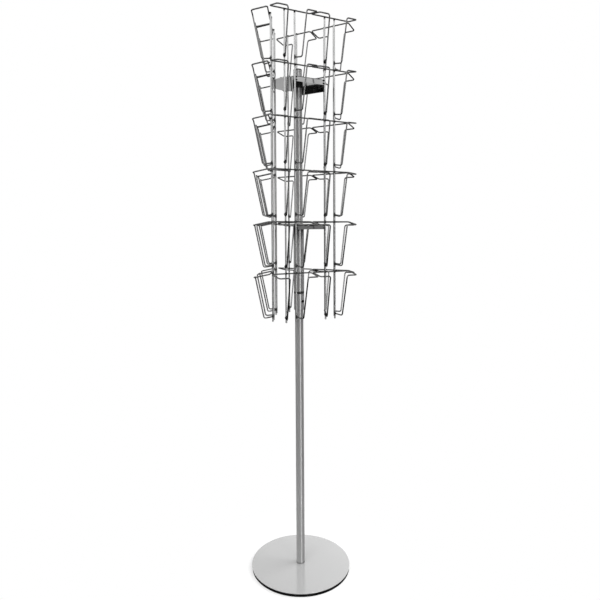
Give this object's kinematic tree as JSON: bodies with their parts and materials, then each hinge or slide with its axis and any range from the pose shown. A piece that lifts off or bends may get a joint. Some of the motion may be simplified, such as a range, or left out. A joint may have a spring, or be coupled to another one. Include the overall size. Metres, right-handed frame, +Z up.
{
  "type": "rotating brochure stand",
  "caption": "Floor-standing three-sided wire brochure rack that turns on a silver tube post with a round base",
  "frame": {"origin": "middle of the base's underside, on the floor under the post's axis", "axes": "+Z up along the post, about which the rack turns; at rest one side of the rack faces -X, one front right between +X and -Y and one back right between +X and +Y"},
  "size_m": [0.3199, 0.3362, 1.6469],
  "materials": {
    "chromed_wire": "bright plated round wire",
    "bracket_sheet": "satin zinc-plated sheet",
    "silver_tube": "satin silver lacquer on steel tube",
    "silver_lacquer": "smooth silver lacquer on steel plate",
    "black_lacquer": "matt black lacquer on steel plate",
    "black_plastic": "moulded black nylon",
    "bolt_steel": "plain zinc-plated bolt",
    "black_screw": "blackened steel screw"
  },
  "bodies": {
    "stand": {"base_weight": "black_lacquer", "base_cover": "silver_lacquer", "base_bolt": "bolt_steel", "post": "silver_tube", "post_cap": "black_plastic", "stop_collar": "silver_tube", "collar_screw": "black_screw"},
    "rack": {"thrust_bush": "black_plastic", "bearing_sleeve": "silver_tube", "lower_bracket": "bracket_sheet", "upper_bracket": "bracket_sheet", "upper_bush": "black_plastic", "upright_a_1": "chromed_wire", "upright_a_2": "chromed_wire", "upright_a_3": "chromed_wire", "upright_a_4": "chromed_wire", "upright_b_1": "chromed_wire", "upright_b_2": "chromed_wire", "upright_b_3": "chromed_wire", "upright_b_4": "chromed_wire", "upright_c_1": "chromed_wire", "upright_c_2": "chromed_wire", "upright_c_3": "chromed_wire", "upright_c_4": "chromed_wire", "pocket_a_left_1": "chromed_wire", "pocket_a_left_2": "chromed_wire", "pocket_a_left_3": "chromed_wire", "pocket_a_left_4": "chromed_wire", "pocket_a_left_5": "chromed_wire", "pocket_a_left_6": "chromed_wire", "pocket_a_right_1": "chromed_wire", "pocket_a_right_2": "chromed_wire", "pocket_a_right_3": "chromed_wire", "pocket_a_right_4": "chromed_wire", "pocket_a_right_5": "chromed_wire", "pocket_a_right_6": "chromed_wire", "pocket_b_left_1": "chromed_wire", "pocket_b_left_2": "chromed_wire", "pocket_b_left_3": "chromed_wire", "pocket_b_left_4": "chromed_wire", "pocket_b_left_5": "chromed_wire", "pocket_b_left_6": "chromed_wire", "pocket_b_right_1": "chromed_wire", "pocket_b_right_2": "chromed_wire", "pocket_b_right_3": "chromed_wire", "pocket_b_right_4": "chromed_wire", "pocket_b_right_5": "chromed_wire", "pocket_b_right_6": "chromed_wire", "pocket_c_left_1": "chromed_wire", "pocket_c_left_2": "chromed_wire", "pocket_c_left_3": "chromed_wire", "pocket_c_left_4": "chromed_wire", "pocket_c_left_5": "chromed_wire", "pocket_c_left_6": "chromed_wire", "pocket_c_right_1": "chromed_wire", "pocket_c_right_2": "chromed_wire", "pocket_c_right_3": "chromed_wire", "pocket_c_right_4": "chromed_wire", "pocket_c_right_5": "chromed_wire", "pocket_c_right_6": "chromed_wire"}
  },
  "joints": [
    {"name": "rack_turn", "type": "hinge", "parent": "stand", "child": "rack", "pos_m": [0, 0, 0.8451], "axis": [0, 0, 1], "continuous": true}
  ]
}
